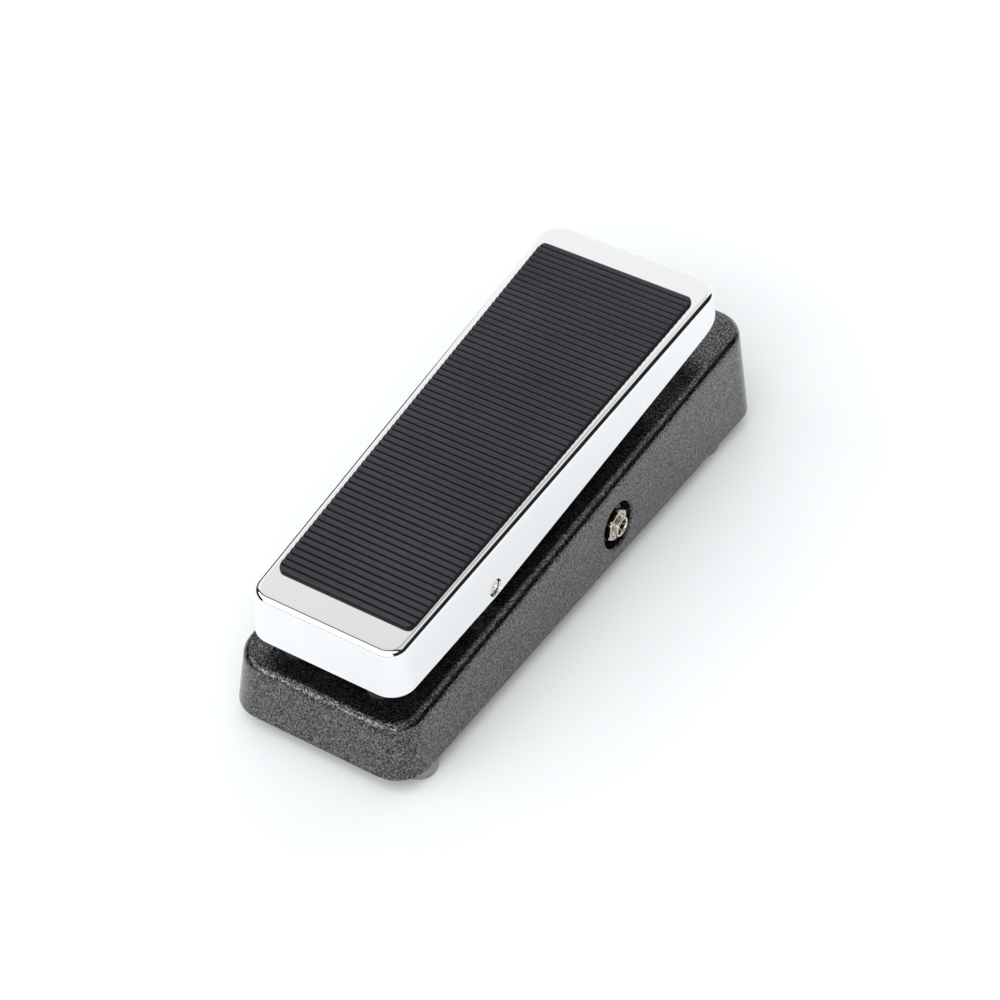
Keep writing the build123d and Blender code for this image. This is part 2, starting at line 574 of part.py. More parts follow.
# ---- battery and its leads ----------------------------------------------------------
bx1 = BATTERY_X0 + BATTERY_W
by1 = BATTERY_Y0 + BATTERY_L
cell = box(BATTERY_X0, bx1, BATTERY_Y0, by1, BATTERY_Z, BATTERY_Z + BATTERY_T)
cell = fillet(cell.edges().filter_by(Axis.Y), 1.5)
cell_mid_x = BATTERY_X0 + BATTERY_W / 2
cell_mid_z = BATTERY_Z + BATTERY_T / 2
for step in (-1, 1):
    cell += rod_y(by1, by1 + 2.2, cell_mid_x + step * 6.4, cell_mid_z, 3.0)
save(cell, "battery_case")
snap = box(BATTERY_X0 + 1.5, bx1 - 1.5, by1, by1 + 5, cell_mid_z - 6.5, cell_mid_z + 6.5)
snap = fillet(snap.edges().filter_by(Axis.Y), 2.0)
for step in (-1, 1):
    snap -= rod_y(by1 - 1, by1 + 2.2, cell_mid_x + step * 6.4, cell_mid_z, 3.0)
save(snap, "battery_snap")
strap = box(BATTERY_X0 - 1, bx1 + 1, 54, 66, BATTERY_Z + BATTERY_T, BATTERY_Z + BATTERY_T + 1)
strap += box(BATTERY_X0 - 1, BATTERY_X0, 54, 66, COVER_TOP, BATTERY_Z + BATTERY_T + 1)
strap += box(bx1, bx1 + 1, 54, 66, COVER_TOP, BATTERY_Z + BATTERY_T + 1)
save(strap, "battery_strap")


def lead(start_y, lane_x):
    """Insulated wire from the battery snap along the floor of the case to the board."""
    path = FilletPolyline(
        (BATTERY_X0 + 1.5, start_y, 15.0),
        (lane_x, start_y, 15.0),
        (lane_x, start_y - 18.0, 11.0),
        (lane_x, BOARD_TOE_Y - 2.5, 11.0),
        (lane_x, BOARD_TOE_Y - 2.5, BOARD_LOW),
        radius=2.0,
    )
    section = Plane(origin=path @ 0, z_dir=path % 0) * Circle(0.65)
    return sweep(section, path=path)


save(lead(by1 + 1.5, 10.0), "battery_lead_red")
save(lead(by1 + 3.6, 7.5), "battery_lead_black")

# ---- treadle ------------------------------------------------------------------------
treadle_frame = Plane(
    origin=(0, TREADLE_HEEL_Y, TREADLE_HEEL_Z),
    x_dir=(1, 0, 0),
    z_dir=(0, -sin(radians(TREADLE_TILT)), cos(radians(TREADLE_TILT))),
).location
deck = trapezoid(
    TREADLE_HALF_HEEL,
    TREADLE_HALF_TOE,
    TREADLE_LENGTH,
    TREADLE_CORNER_HEEL,
    TREADLE_CORNER_TOE,
)
DEPTH = 24.0
flare = DEPTH * tan(radians(TREADLE_DRAFT))
shell = Pos(0, 0, -DEPTH) * extrude(offset(deck, flare), amount=DEPTH, taper=TREADLE_DRAFT)
deck_face = shell.faces().sort_by(Axis.Z)[-1]
shell = fillet(deck_face.edges(), TREADLE_EDGE)
hollow_face = offset(deck, flare - WALL)
hollow_depth = DEPTH - TREADLE_PLATE
shell -= Pos(0, 0, -DEPTH) * extrude(hollow_face, amount=hollow_depth, taper=TREADLE_DRAFT)
heel_slope = (SKIRT_PIVOT - SKIRT_HEEL) / SKIRT_PIVOT_V
skirt_points = [(-6, 2), (-6, -SKIRT_HEEL + 6 * heel_slope), (SKIRT_PIVOT_V, -SKIRT_PIVOT)]
for step in range(9):
    sweep_up = (SKIRT_TOE - SKIRT_TIP) * (step / 8) ** 2
    skirt_points.append((SKIRT_TOE_V + (SKIRT_TIP_V - SKIRT_TOE_V) * step / 8, sweep_up - SKIRT_TOE))
skirt_points.append((TREADLE_LENGTH + 6, -SKIRT_TIP))
skirt_points.append((TREADLE_LENGTH + 6, 2))
shell &= side_prism(skirt_points, 60)
for x in (-13, 13):
    shell += box(x - 1.2, x + 1.2, 6, TREADLE_LENGTH - 3, -7, -TREADLE_PLATE)
for v in (32, 88, 142, 186):
    shell += box(-31, 31, v - 1.2, v + 1.2, -6, -TREADLE_PLATE)
treadle = treadle_frame * shell

# axle bosses in the skirt, stop posts, rack lug and toe pad boss
for side in (-1, 1):
    boss = side_rod(side, 29.7, 33.2, PIVOT_Y, PIVOT_Z, 6.4)
    boss += side_box(side, 29.7, 31.9, PIVOT_Y - 3, PIVOT_Y + 3, PIVOT_Z, PIVOT_Z + 16)
    treadle += boss
    treadle -= side_rod(side, 29.0, 33.2, PIVOT_Y, PIVOT_Z, AXLE_R)
    treadle -= side_rod(side, 33.2, 40.0, PIVOT_Y, PIVOT_Z, 3.55)
deck_under_heel = TREADLE_HEEL_Z + (BUMPER_Y - TREADLE_HEEL_Y) * tan(radians(TREADLE_TILT)) - 2.0
for x in (-BUMPER_X, BUMPER_X):
    treadle += rod_z(x, BUMPER_Y, STOP_POST_Z, deck_under_heel, 4.2)
deck_under_rack = TREADLE_HEEL_Z + (RACK_Y - TREADLE_HEEL_Y) * tan(radians(TREADLE_TILT)) - 2.0
LUG_X0, LUG_X1 = -8.2, -3.6
lug = box(LUG_X0, LUG_X1, RACK_Y - 5, RACK_Y + 5, RACK_PIN_Z, deck_under_rack)
lug += rod_x(LUG_X0, LUG_X1, RACK_Y, RACK_PIN_Z, 5.0)
treadle += lug
treadle -= rod_x(LUG_X0 - 1, LUG_X1 + 1, RACK_Y, RACK_PIN_Z, RACK_PIN_R)
PAD_R = 7.5
pad_seat = TOE_PAD_Z + 3.0
deck_under_toe = TREADLE_HEEL_Z + (SWITCH_Y - TREADLE_HEEL_Y) * tan(radians(TREADLE_TILT)) - 2.0
treadle += rod_z(0, SWITCH_Y, pad_seat, deck_under_toe, 8.5)
save(treadle, "treadle_plate")

toe_pad = rod_z(0, SWITCH_Y, TOE_PAD_Z, pad_seat, PAD_R)
toe_pad = fillet(toe_pad.edges().sort_by(Axis.Z)[0], 0.8)
save(toe_pad, "toe_pad")

# ribbed mat on the deck
mat_length = MAT_END - MAT_START
mat_face = trapezoid(
    MAT_HALF_HEEL + MAT_WIDEN * MAT_START,
    MAT_HALF_HEEL + MAT_WIDEN * MAT_END,
    mat_length,
    MAT_CORNER,
    MAT_CORNER,
    MAT_START,
)
rib_pitch = mat_length / RIB_COUNT
mat_points = [(MAT_START, 0), (MAT_START, MAT_SHEET)]
for index in range(RIB_COUNT):
    start = MAT_START + index * rib_pitch
    mat_points.append((start + 0.28 * rib_pitch, MAT_SHEET))
    mat_points.append((start + 0.40 * rib_pitch, MAT_SHEET + RIB_HEIGHT))
    mat_points.append((start + 0.88 * rib_pitch, MAT_SHEET + RIB_HEIGHT))
    mat_points.append((start + rib_pitch, MAT_SHEET))
mat_points.append((MAT_END, 0))
mat = side_prism(mat_points, 60) & extrude(mat_face, amount=5)
save(treadle_frame * mat, "treadle_mat")

axle = rod_x(-AXLE_END_X, AXLE_END_X, PIVOT_Y, PIVOT_Z, AXLE_R)
axle = chamfer(axle.edges().filter_by(GeomType.CIRCLE), 0.5)
save(axle, "pivot_axle")
clips = []
for side in (-1, 1):
    clip = side_rod(side, 18.6, 19.6, PIVOT_Y, PIVOT_Z, 5.6)
    clip -= side_rod(side, 18, 20, PIVOT_Y, PIVOT_Z, AXLE_R)
    clip -= side_box(side, 18, 20, PIVOT_Y - 1.4, PIVOT_Y + 1.4, PIVOT_Z, PIVOT_Z + 8)
    clips.append(clip)
save(group(clips), "axle_clips")

PIN_END_X = 2.6
pin = rod_x(LUG_X0 - 1.2, LUG_X0, RACK_Y, RACK_PIN_Z, 3.6)
pin += rod_x(LUG_X0, PIN_END_X, RACK_Y, RACK_PIN_Z, RACK_PIN_R)
save(pin, "rack_pin")
pin_clip = rod_x(0.7, 1.5, RACK_Y, RACK_PIN_Z, 3.8)
pin_clip -= rod_x(0, 3, RACK_Y, RACK_PIN_Z, RACK_PIN_R)
pin_clip -= box(0, 3, RACK_Y - 1.0, RACK_Y + 1.0, RACK_PIN_Z, RACK_PIN_Z + 6)
save(pin_clip, "rack_pin_clip")
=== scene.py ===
import json
import math

import bmesh
import bpy
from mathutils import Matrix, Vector


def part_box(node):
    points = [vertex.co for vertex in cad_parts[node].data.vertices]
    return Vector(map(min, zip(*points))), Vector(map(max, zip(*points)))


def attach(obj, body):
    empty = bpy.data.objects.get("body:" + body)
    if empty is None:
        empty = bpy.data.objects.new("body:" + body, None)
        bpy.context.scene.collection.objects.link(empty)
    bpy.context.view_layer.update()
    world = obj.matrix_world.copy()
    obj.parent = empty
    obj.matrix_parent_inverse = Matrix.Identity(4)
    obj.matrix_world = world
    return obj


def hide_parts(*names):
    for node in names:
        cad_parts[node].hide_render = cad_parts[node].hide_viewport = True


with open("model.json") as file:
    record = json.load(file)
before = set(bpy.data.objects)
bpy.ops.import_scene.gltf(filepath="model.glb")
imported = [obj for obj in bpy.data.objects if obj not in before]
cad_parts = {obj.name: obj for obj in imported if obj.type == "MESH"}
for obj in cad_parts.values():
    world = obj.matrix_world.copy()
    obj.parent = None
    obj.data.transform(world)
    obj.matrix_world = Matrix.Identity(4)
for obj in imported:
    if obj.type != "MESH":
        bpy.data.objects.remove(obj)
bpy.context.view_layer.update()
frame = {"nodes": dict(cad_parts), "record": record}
nodes = frame["nodes"]
scene = bpy.context.scene
MM = 0.001

# ---------------------------------------------------------------- drawing sizes (mm)
RIM_Z = 7.5
TREADLE_Y = -118.3
TREADLE_Z = RIM_Z + 56.8
TILT = math.radians(3.64)
PIVOT_Y = -58.5
PIVOT_Z = RIM_Z + 41.9
AXLE_REACH = 34.5
AXLE_RADIUS = 3.175
JACK_Y = 16.7
JACK_Z = RIM_Z + 14.8
JACK_INNER, JACK_TIP = 36.4, 46.5
JACK_WASHER_X, JACK_NUT_X, JACK_NUT_END_X = 40.6, 41.3, 44.6
JACK_BORE = 3.25
JACK_CREST = 4.55
JACK_FLATS = 12.7
JACK_NUT_TURN = 20.0
SWITCH_Y = 88.0
SWITCH_LOW, SWITCH_TOP = 41.0, 54.5
SWITCH_CREST = 5.96
SWITCH_HOLE = 4.06
SWITCH_FLATS = 15.5
BUTTON_RADIUS, BUTTON_TOP = 4.0, 60.0
THREAD_DEPTH = 0.42
NUT_SIDES = 144
FOOT_HEIGHT = 7.5
BUMPER_X, BUMPER_Y = 18.0, -108.0
BUMPER_RADIUS = 5.5
MAT_START, MAT_END = 13.3, 210.0
MAT_HALF_HEEL = 28.7
MAT_WIDEN = 0.0285
MAT_CORNER = 4.0
MAT_SHEET = 0.8
RIB_COUNT = 65
RIB_HEIGHT = 1.0
MAT_SINK = 0.02
RIB_GAP = 0.07
RIB_STEPS = 12
MAT_SKEW_LEFT, MAT_SKEW_RIGHT = 1.1, 0.3
SHARP_ANGLE = math.radians(34)
BEVEL_ANGLE = math.radians(38)

record = frame["record"]
body_of = {name: body for body, names in record["behaviour"]["bodies"].items() for name in names}
slot_of = {entry["node"]: entry["material_slot"] for entry in record["subparts"]}


# ---------------------------------------------------------------- node helpers
class Graph:
    """Short calls for building a node tree."""

    def __init__(self, tree):
        self.tree = tree
        self.coord = tree.nodes.new("ShaderNodeTexCoord")

    def link(self, a, b):
        self.tree.links.new(a, b)

    def mapped(self, scale):
        node = self.tree.nodes.new("ShaderNodeMapping")
        node.inputs["Scale"].default_value = scale
        self.link(self.coord.outputs["Object"], node.inputs["Vector"])
        return node.outputs[0]

    def noise(self, scale, detail=3.0, rough=0.5, vector=None, distortion=0.0):
        node = self.tree.nodes.new("ShaderNodeTexNoise")
        node.inputs["Scale"].default_value = scale
        node.inputs["Detail"].default_value = detail
        node.inputs["Roughness"].default_value = rough
        node.inputs["Distortion"].default_value = distortion
        self.link(vector or self.coord.outputs["Object"], node.inputs["Vector"])
        return node.outputs[0]

    def cells(self, scale, smoothness):
        node = self.tree.nodes.new("ShaderNodeTexVoronoi")
        node.feature = "SMOOTH_F1"
        node.inputs["Scale"].default_value = scale
        node.inputs["Smoothness"].default_value = smoothness
        self.link(self.coord.outputs["Object"], node.inputs["Vector"])
        return node.outputs[0]

    def ramp(self, value, *stops):
        node = self.tree.nodes.new("ShaderNodeValToRGB")
        ramp = node.color_ramp
        while len(ramp.elements) < len(stops):
            ramp.elements.new(0.5)
        for element, (place, colour) in zip(ramp.elements, stops):
            element.position = place
            if not isinstance(colour, tuple):
                colour = (colour, colour, colour)
            element.color = (*colour, 1.0)
        self.link(value, node.inputs[0])
        return node.outputs[0]

    def math(self, operation, a, b):
        node = self.tree.nodes.new("ShaderNodeMath")
        node.operation = operation
        for index, value in enumerate((a, b)):
            if isinstance(value, (int, float)):
                node.inputs[index].default_value = value
            else:
                self.link(value, node.inputs[index])
        return node.outputs[0]

    def mix(self, factor, a, b):
        node = self.tree.nodes.new("ShaderNodeMix")
        node.data_type = "RGBA"
        self.link(factor, node.inputs[0])
        for socket, value in ((node.inputs[6], a), (node.inputs[7], b)):
            if isinstance(value, tuple):
                socket.default_value = (*value, 1.0)
            else:
                self.link(value, socket)
        return node.outputs[2]

    def step(self, value, low, high):
        """Smooth rise from 0 at low to 1 at high, or a fall where high is the smaller."""
        node = self.tree.nodes.new("ShaderNodeMapRange")
        node.interpolation_type = "SMOOTHSTEP"
        turned = high < low
        ends = (high, low, 1.0, 0.0) if turned else (low, high, 0.0, 1.0)
        for index, end in enumerate(ends):
            node.inputs[index + 1].default_value = end
        self.link(value, node.inputs[0])
        return node.outputs[0]


class Mat(Graph):
    """A procedural material under construction."""

    def __init__(self, name):
        self.mat = bpy.data.materials.new(name)
        self.mat.use_nodes = True
        self.mat.node_tree.nodes.clear()
        super().__init__(self.mat.node_tree)
        out = self.tree.nodes.new("ShaderNodeOutputMaterial")
        self.bsdf = self.tree.nodes.new("ShaderNodeBsdfPrincipled")
        self.link(self.bsdf.outputs[0], out.inputs[0])

    def set(self, **values):
        for key, value in values.items():
            socket = self.bsdf.inputs[key.replace("_", " ")]
            if isinstance(value, tuple) and len(value) == 3:
                value = (*value, 1.0)
            socket.default_value = value
        return self

    def colour(self, socket):
        self.link(socket, self.bsdf.inputs["Base Color"])

    def rough(self, socket):
        self.link(socket, self.bsdf.inputs["Roughness"])

    def gloss(self, socket):
        self.link(socket, self.bsdf.inputs["Specular IOR Level"])

    def bump(self, height, distance, strength=1.0, after=None):
        node = self.tree.nodes.new("ShaderNodeBump")
        node.inputs["Distance"].default_value = distance
        node.inputs["Strength"].default_value = strength
        self.link(height, node.inputs["Height"])
        if after is not None:
            self.link(after, node.inputs["Normal"])
        self.link(node.outputs[0], self.bsdf.inputs["Normal"])
        return node.outputs[0]


# ---------------------------------------------------------------- mesh helpers
def to_world(v):
    return Vector((v[0] * MM, v[1] * MM, v[2] * MM))


def deck_point(x, v, h):
    """Treadle drawing coordinates (mm along the slope) to world mm."""
    return (
        x,
        TREADLE_Y + v * math.cos(TILT) - h * math.sin(TILT),
        TREADLE_Z + v * math.sin(TILT) + h * math.cos(TILT),
    )


def make(name, verts, faces, body, material, replaces=()):
    mesh = bpy.data.meshes.new(name)
    mesh.from_pydata([to_world(v) for v in verts], [], faces)
    mesh.validate()
    mesh.update()
    obj = bpy.data.objects.new(name, mesh)
    scene.collection.objects.link(obj)
    finish_piece(obj, body, material, replaces)


def finish_piece(obj, body, material, replaces=()):
    """Give a piece its material, smooth shading and body, and hide the nodes it stands for."""
    obj.data.materials.clear()
    obj.data.materials.append(material.mat)
    for polygon in obj.data.polygons:
        polygon.use_smooth = True
    obj.data.set_sharp_from_angle(angle=SHARP_ANGLE)
    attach(obj, body)
    if replaces:
        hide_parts(*replaces)


def rounded_corner(radius, along, out, up):
    """Quarter curve in eight steps, from out beyond the radius to up above the place along."""
    turns = [math.pi / 2 * step / 8 for step in range(1, 9)]
    return [(radius + out * math.cos(turn), along + up * math.sin(turn)) for turn in turns]


def ring_mesh(profile, place, sides=96, closed=True, shape=None, turn=0.0):
    """Verts and faces of a turned piece.

    profile is (radius, along) pairs round the section, place(a, b, along) puts a point in the
    world, and shape(radius, along, angle) may change the radius, for flats and threads.
    """
    verts, faces = [], []
    count = len(profile)
    for index in range(sides):
        angle = 2 * math.pi * index / sides
        for radius, along in profile:
            r = shape(radius, along, angle) if shape else radius
            verts.append(place(r * math.cos(angle + turn), r * math.sin(angle + turn), along))
    for index in range(sides):
        here, there = index * count, ((index + 1) % sides) * count
        for step in range(count if closed else count - 1):
            after = (step + 1) % count
            faces.append((here + step, there + step, there + after, here + after))
    return verts, faces


def on_x(side, y, z):
    """Turned piece along X, with distances measured outward from the middle of the object."""
    return lambda a, b, along: (side * along, y + a, z + b)


def on_z(x, y):
    return lambda a, b, along: (x + a, y + b, along)


def joined(parts):
    """Several (verts, faces) lists as one."""
    verts, faces = [], []
    for part_verts, part_faces in parts:
        start = len(verts)
        verts.extend(part_verts)
        faces.extend(tuple(start + i for i in face) for face in part_faces)
    return verts, faces


def weld(obj):
    """Close the poles of turned pieces and point every face outward."""
    mesh = bmesh.new()
    mesh.from_mesh(obj.data)
    bmesh.ops.remove_doubles(mesh, verts=mesh.verts, dist=2e-6)
    bmesh.ops.dissolve_degenerate(mesh, dist=1e-7, edges=mesh.edges)
    bmesh.ops.recalc_face_normals(mesh, faces=mesh.faces)
    mesh.to_mesh(obj.data)
    mesh.free()


def turned(name, parts, node, material):
    """A turned piece, or several, that stands for a node."""
    verts, faces = joined(parts)
    mesh = bpy.data.meshes.new(name)
    mesh.from_pydata([to_world(v) for v in verts], [], faces)
    obj = bpy.data.objects.new(name, mesh)
    scene.collection.objects.link(obj)
    weld(obj)
    finish_piece(obj, body_of[node], material, (node,))


def hexagon(flats, soft=0.1):
    """Shape for a hexagon's flats, with slightly rounded corners."""

    def shape(radius, along, angle):
        off_flat = (angle % (math.pi / 3)) - math.pi / 6
        return min(radius, flats / 2 / math.cos(off_flat), flats / math.sqrt(3) - soft)

    return shape


def thread(low, high, pitch, depth):
    """Shape for a screw thread between two distances along a turned piece."""

    def shape(radius, along, angle):
        if not low <= along <= high:
            return radius
        phase = (along / pitch - angle / (2 * math.pi)) % 1.0
        return radius - depth * min(1.0, max(0.0, abs(2 * phase - 1) * 1.5 - 0.25))

    return shape


def rows(low, high, step, radius):
    """Evenly spaced points along a cylinder, close enough together to carry a thread."""
    count = max(2, round(abs(high - low) / step))
    return [(radius, low + (high - low) * i / count) for i in range(count + 1)]


def nut_profile(low, high, bore, reach, cut=0.5):
    """Section of a nut: faces at low and high, and the corners turned off at both ends."""
    return [
        (bore + 0.45, low),
        (reach - cut * 2.6, low),
        (reach - cut * 1.1, low + cut * 0.35),
        (reach, low + cut),
        (reach, high - cut),
        (reach - cut * 1.1, high - cut * 0.35),
        (reach - cut * 2.6, high),
        (bore + 0.45, high),
        (bore + 0.12, high - 0.3),
        (bore, high - 0.5),
        (bore, low + 0.5),
        (bore + 0.12, low + 0.3),
    ]


def washer_profile(low, high, bore, reach, soft):
    """Section of a washer with its four corners cut by soft."""
    return [
        (bore + soft, low),
        (reach - soft, low),
        (reach, low + soft),
        (reach, high - soft),
        (reach - soft, high),
        (bore + soft, high),
        (bore, high - soft),
        (bore, low + soft),
    ]


def softened(node, width):
    """Copy of a CAD node with its edges rounded off, in place of the node."""
    mesh = nodes[node].data.copy()
    if "custom_normal" in mesh.attributes:
        mesh.attributes.remove(mesh.attributes["custom_normal"])
    work = bmesh.new()
    work.from_mesh(mesh)
    bmesh.ops.remove_doubles(work, verts=work.verts, dist=1e-6)
    bmesh.ops.dissolve_limit(
        work, angle_limit=math.radians(0.4), verts=work.verts, edges=work.edges
    )
    work.to_mesh(mesh)
    work.free()
    obj = bpy.data.objects.new("soft_" + node, mesh)
    scene.collection.objects.link(obj)
    finish_piece(obj, body_of[node], SLOT_MATERIAL[slot_of[node]], (node,))
    bevel = obj.modifiers.new("edges", "BEVEL")
    bevel.width = width * MM
    bevel.segments = 2
    bevel.limit_method = "ANGLE"
    bevel.angle_limit = BEVEL_ANGLE
    bevel.harden_normals = True


# ---------------------------------------------------------------- materials
def chrome_material():
    """Mirror chrome with faint smudges and a trace of polishing grain."""
    m = Mat("mirror_chrome").set(Base_Color=(0.90, 0.905, 0.915), Metallic=1.0)
    smudge = m.noise(14, 4, 0.6)
    m.rough(m.ramp(smudge, (0.35, 0.025), (0.75, 0.07)))
    fine = m.noise(900, 2, 0.5)
    m.bump(fine, 0.000004, 0.25)
    return m


def enamel_material():
    """Gloss black enamel with a hammered skin, with painted shade in the dips of its wrinkle
    pattern and painted highlight specks on its crests: the colour is darker and reflects less in
    the dips, lighter on the crests.
    """
    m = Mat("hammered_black_enamel").set(Metallic=0.0, IOR=1.95)
    wrinkle = m.noise(1420, 2.0, 0.5, distortion=0.4)
    cells = m.cells(950, 0.5)
    broad = m.noise(120, 3, 0.6)
    # Painted shade and painted highlight: the wrinkle noise sets near-black colour and low
    # reflection in its dips and lighter specks on its crests.
    hollow_painted_shade, crest = (0.0020, 0.0019, 0.0022), (0.022, 0.0212, 0.0225)
    m.colour(m.ramp(wrinkle, (0.46, hollow_painted_shade), (0.66, crest)))
    m.rough(m.ramp(broad, (0.3, 0.09), (0.7, 0.14)))
    m.gloss(m.ramp(wrinkle, (0.38, 0.10), (0.52, 0.42), (0.64, 1.0)))
    first = m.bump(wrinkle, 0.00013, 1.0)
    m.bump(cells, 0.00006, 0.8, after=first)
    return m


def rubber_material(name, dark, light, rough, scale=220):
    """Moulded rubber with a cloudy tone and a fine matt grain."""
    m = Mat(name).set(Metallic=0.0, Specular_IOR_Level=0.45)
    grain = m.noise(scale, 5, 0.65)
    cloud = m.noise(scale / 9, 3, 0.5)
    tone = m.math("MULTIPLY", grain, cloud)
    m.colour(m.ramp(tone, (0.12, dark), (0.42, light)))
    m.rough(m.ramp(grain, (0.3, rough - 0.08), (0.7, rough + 0.1)))
    m.bump(m.noise(scale * 9, 3, 0.6), 0.00004, 0.5)
    return m


def mat_material():
    """Charcoal rubber with painted shade in the valleys between the ribs: its colour and reflection
    fall to near black below the rib crests.
    """
    m = rubber_material("mat_rubber", (0.0120, 0.0108, 0.0155), (0.036, 0.0332, 0.0445), 0.42)
    across = m.tree.nodes.new("ShaderNodeVectorMath")
    across.operation = "DOT_PRODUCT"
    across.inputs[1].default_value = (0.0, -math.sin(TILT), math.cos(TILT))
    m.link(m.coord.outputs["Object"], across.inputs[0])
    deck = (TREADLE_Z * math.cos(TILT) - TREADLE_Y * math.sin(TILT)) * MM
    low, high = deck + MAT_SHEET * MM, deck + (MAT_SHEET + RIB_HEIGHT) * MM
    lit = m.step(across.outputs["Value"], low - 0.2 * MM, high + 0.4 * MM)
    crest = m.bsdf.inputs["Base Color"].links[0].from_socket
    # Painted shade: near-black colour and weak reflection where the rubber lies low between the
    # ribs, set by height above the deck.
    groove_painted_shade = (0.0045, 0.0042, 0.0065)
    m.colour(m.mix(lit, groove_painted_shade, crest))
    m.gloss(m.ramp(lit, (0.1, 0.14), (0.9, 0.50)))
    return m


def metal_material(name, colour, rough, spread, scale=400, dark=0.82):
    """Plated or turned metal whose tone and polish vary over its surface."""
    m = Mat(name).set(Metallic=1.0)
    brushed = m.noise(1.0, 4, 0.6, m.mapped((scale, scale, scale)))
    shade = tuple(c * dark for c in colour)
    m.colour(m.ramp(brushed, (0.25, shade), (0.7, colour)))
    m.rough(m.ramp(brushed, (0.3, max(rough - spread / 2, 0.03)), (0.7, rough + spread)))
    m.bump(brushed, 0.00001, 0.4)
    return m


def plastic_material(name, colour, rough, vary, scale=150):
    """Moulding, lacquer or paint with a cloudy tone and a fine skin."""
    m = Mat(name).set(Metallic=0.0)
    cloud = m.noise(scale, 4, 0.6)
    shade = tuple(c * vary for c in colour)
    m.colour(m.ramp(cloud, (0.3, shade), (0.72, colour)))
    m.rough(m.ramp(cloud, (0.3, rough - 0.06), (0.7, rough + 0.12)))
    m.bump(m.noise(scale * 10, 2, 0.5), 0.00002, 0.4)
    return m


CHROME = chrome_material()
ENAMEL = enamel_material()
MAT_RUBBER = mat_material()
FOOT_RUBBER = rubber_material("foot_rubber", (0.16, 0.165, 0.14), (0.30, 0.305, 0.265), 0.72)
BLACK_RUBBER = rubber_material("bumper_rubber", (0.014, 0.014, 0.015), (0.035, 0.035, 0.037), 0.6)
NICKEL = metal_material("nickel_plate", (0.80, 0.77, 0.70), 0.16, 0.10)
# Painted reflection: the extra warm tint and the strong dark streaks (dark=0.30) stand in for
# brownish reflections on the jack nuts, on top of the nickel's own tone.
NICKEL_PAINTED_REFLECTION = metal_material("nickel_painted_reflection", (0.80, 0.73, 0.60), 0.10, 0.08, 700, 0.30)
SOCKET_NICKEL = metal_material("socket_nickel", (0.90, 0.85, 0.76), 0.10, 0.07, 700, 0.45)
AXLE_STEEL = metal_material("axle_end", (0.86, 0.78, 0.74), 0.20, 0.10)
ZINC = metal_material("zinc_plate", (0.72, 0.73, 0.75), 0.26, 0.12)
STEEL = metal_material("bright_steel", (0.70, 0.70, 0.70), 0.24, 0.12)
BLACK_STEEL = metal_material("black_oxide", (0.10, 0.10, 0.105), 0.38, 0.12)
BRASS = metal_material("turned_brass", (0.78, 0.62, 0.33), 0.24, 0.1)
TIN = metal_material("tinned_lug", (0.74, 0.73, 0.70), 0.3, 0.15)
# Painted shade: a near-black finish that barely reflects, for the sleeves and rings that are put
# where there is only shade, inside the jack bores and round the axle ends.
PAINTED_SHADE_BLACK = plastic_material("painted_shade_black", (0.006, 0.005, 0.005), 0.8, 0.5)
PAINTED_SHADE_BLACK.set(Specular_IOR_Level=0.12)
COVER = plastic_material("cover_paint", (0.040, 0.040, 0.043), 0.42, 0.7, 300)
NYLON = plastic_material("natural_nylon", (0.80, 0.78, 0.70), 0.42, 0.86)
PHENOLIC = plastic_material("brown_laminate", (0.36, 0.20, 0.10), 0.5, 0.7)
SWITCH_BLUE = plastic_material("switch_case", (0.06, 0.10, 0.24), 0.4, 0.8)
BOARD = plastic_material("board_green", (0.03, 0.19, 0.09), 0.35, 0.7, 90)
RESISTOR = plastic_material("resistor_tan", (0.62, 0.45, 0.26), 0.35, 0.8)
FILM = plastic_material("film_orange", (0.60, 0.24, 0.05), 0.3, 0.8)
SLEEVE = plastic_material("sleeve_blue", (0.05, 0.09, 0.26), 0.35, 0.8)
BLACK_PLASTIC = plastic_material("black_moulding", (0.028, 0.028, 0.03), 0.42, 0.7)
COIL = plastic_material("coil_red", (0.50, 0.05, 0.045), 0.35, 0.8)
CELL = plastic_material("cell_jacket", (0.10, 0.11, 0.13), 0.3, 0.8)
RED_WIRE = plastic_material("red_wire", (0.52, 0.03, 0.025), 0.4, 0.85)
BLACK_WIRE = plastic_material("black_wire", (0.025, 0.025, 0.027), 0.4, 0.85)

SLOT_MATERIAL = {
    "housing_enamel": ENAMEL,
    "cover_steel": COVER,
    "foot_rubber": FOOT_RUBBER,
    "zinc_screw": ZINC,
    "bumper_rubber": BLACK_RUBBER,
    "nylon": NYLON,
    "switch_case": SWITCH_BLUE,
    "nickel": NICKEL,
    "tinned_lug": TIN,
    "bracket_steel": STEEL,
    "phenolic": PHENOLIC,
    "brass": BRASS,
    "shaft_steel": NICKEL,
    "spring_steel": BLACK_STEEL,
    "board_green": BOARD,
    "resistor_body": RESISTOR,
    "film_cap_body": FILM,
    "electrolytic_sleeve": SLEEVE,
    "black_plastic": BLACK_PLASTIC,
    "inductor_shell": COIL,
    "battery_label": CELL,
    "red_wire": RED_WIRE,
    "black_wire": BLACK_WIRE,
    "treadle_chrome": CHROME,
    "mat_rubber": MAT_RUBBER,
}
for node_name, slot_name in slot_of.items():
    part = nodes[node_name]
    part.data.materials.clear()
    part.data.materials.append(SLOT_MATERIAL[slot_name].mat)


